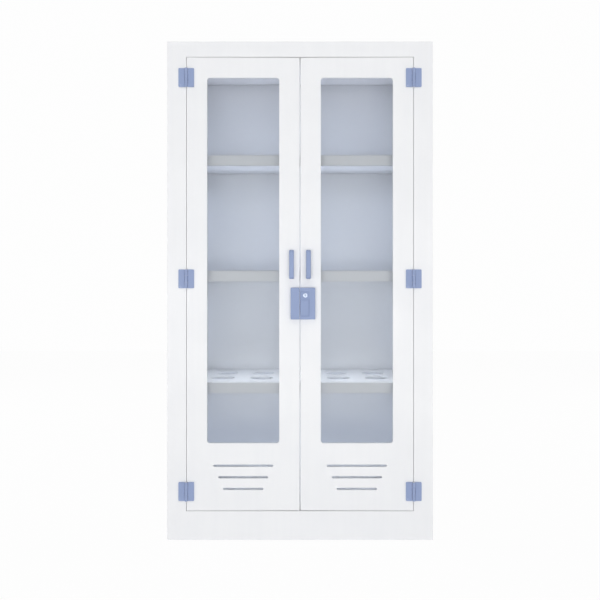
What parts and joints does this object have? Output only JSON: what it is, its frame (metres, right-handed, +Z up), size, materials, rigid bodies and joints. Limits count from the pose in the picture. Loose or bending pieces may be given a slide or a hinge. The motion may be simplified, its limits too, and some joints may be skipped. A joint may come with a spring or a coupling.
{
  "type": "glassware cabinet",
  "caption": "Tall free-standing laboratory cabinet of white plastic sheet with glazed lockable double doors, vent slots, plain shelves and a perforated flask shelf.",
  "frame": {"origin": "on the floor, under the middle of the overall box, which includes the handles", "axes": "+Z up, +X to the right of someone facing the doors, +Y from the doors to the back panel"},
  "size_m": [0.96, 0.484, 1.8],
  "materials": {
    "white_sheet": "smooth satin white polypropylene sheet",
    "blue_moulding": "satin pale blue moulded polypropylene",
    "clear_pane": "clear polished acrylic sheet",
    "screw_steel": "plain stainless steel",
    "plated_lock": "bright nickel plate"
  },
  "bodies": {
    "cabinet": {"side_panel_left": "white_sheet", "side_panel_right": "white_sheet", "back_panel": "white_sheet", "top_panel": "white_sheet", "ceiling_panel": "white_sheet", "floor_panel": "white_sheet", "floor_bearer": "white_sheet", "front_stile_left": "white_sheet", "front_stile_right": "white_sheet", "front_rail_top": "white_sheet", "front_rail_bottom": "white_sheet", "door_stop_top": "white_sheet", "door_stop_bottom": "white_sheet", "shelf_top": "white_sheet", "shelf_middle": "white_sheet", "shelf_bottom": "white_sheet", "shelf_cleat_left_top": "white_sheet", "shelf_cleat_left_middle": "white_sheet", "shelf_cleat_left_bottom": "white_sheet", "shelf_cleat_right_top": "white_sheet", "shelf_cleat_right_middle": "white_sheet", "shelf_cleat_right_bottom": "white_sheet", "hinge_left_top_frame_leaf": "blue_moulding", "hinge_left_middle_frame_leaf": "blue_moulding", "hinge_left_bottom_frame_leaf": "blue_moulding", "hinge_right_top_frame_leaf": "blue_moulding", "hinge_right_middle_frame_leaf": "blue_moulding", "hinge_right_bottom_frame_leaf": "blue_moulding", "hinge_left_top_pin": "blue_moulding", "hinge_left_middle_pin": "blue_moulding", "hinge_left_bottom_pin": "blue_moulding", "hinge_right_top_pin": "blue_moulding", "hinge_right_middle_pin": "blue_moulding", "hinge_right_bottom_pin": "blue_moulding"},
    "left_door": {"door_left_front": "white_sheet", "door_left_edging": "white_sheet", "door_left_pane": "clear_pane", "door_left_pane_retainer": "white_sheet", "handle_left": "blue_moulding", "handle_left_screw_low": "screw_steel", "handle_left_screw_high": "screw_steel", "hinge_left_top_door_leaf": "blue_moulding", "hinge_left_middle_door_leaf": "blue_moulding", "hinge_left_bottom_door_leaf": "blue_moulding", "lock_keeper": "blue_moulding"},
    "right_door": {"door_right_front": "white_sheet", "door_right_edging": "white_sheet", "door_right_pane": "clear_pane", "door_right_pane_retainer": "white_sheet", "handle_right": "blue_moulding", "handle_right_screw_low": "screw_steel", "handle_right_screw_high": "screw_steel", "hinge_right_top_door_leaf": "blue_moulding", "hinge_right_middle_door_leaf": "blue_moulding", "hinge_right_bottom_door_leaf": "blue_moulding", "lock_case": "blue_moulding", "lock_face_plate": "blue_moulding"},
    "key_cylinder": {"lock_cylinder": "plated_lock"},
    "bolt": {"lock_bolt": "plated_lock"}
  },
  "joints": [
    {"name": "left_door_swing", "type": "hinge", "parent": "cabinet", "child": "left_door", "pos_m": [-0.41025, -0.2143, 0.92425], "axis": [0, 0, -1], "range_deg": [0, 175]},
    {"name": "right_door_swing", "type": "hinge", "parent": "cabinet", "child": "right_door", "pos_m": [0.41025, -0.2143, 0.92425], "axis": [0, 0, 1], "range_deg": [0, 175]},
    {"name": "key_turn", "type": "hinge", "parent": "right_door", "child": "key_cylinder", "pos_m": [0.0188, -0.2323, 0.88325], "axis": [0, -1, 0], "range_deg": [0, 90]},
    {"name": "bolt_slide", "type": "slide", "parent": "right_door", "child": "bolt", "axis": [-1, 0, 0], "range_m": [0, 0.01131]}
  ],
  "couplings": [
    {"joint": "key_turn", "follows": "bolt_slide", "rad_per_m": 138.8}
  ]
}
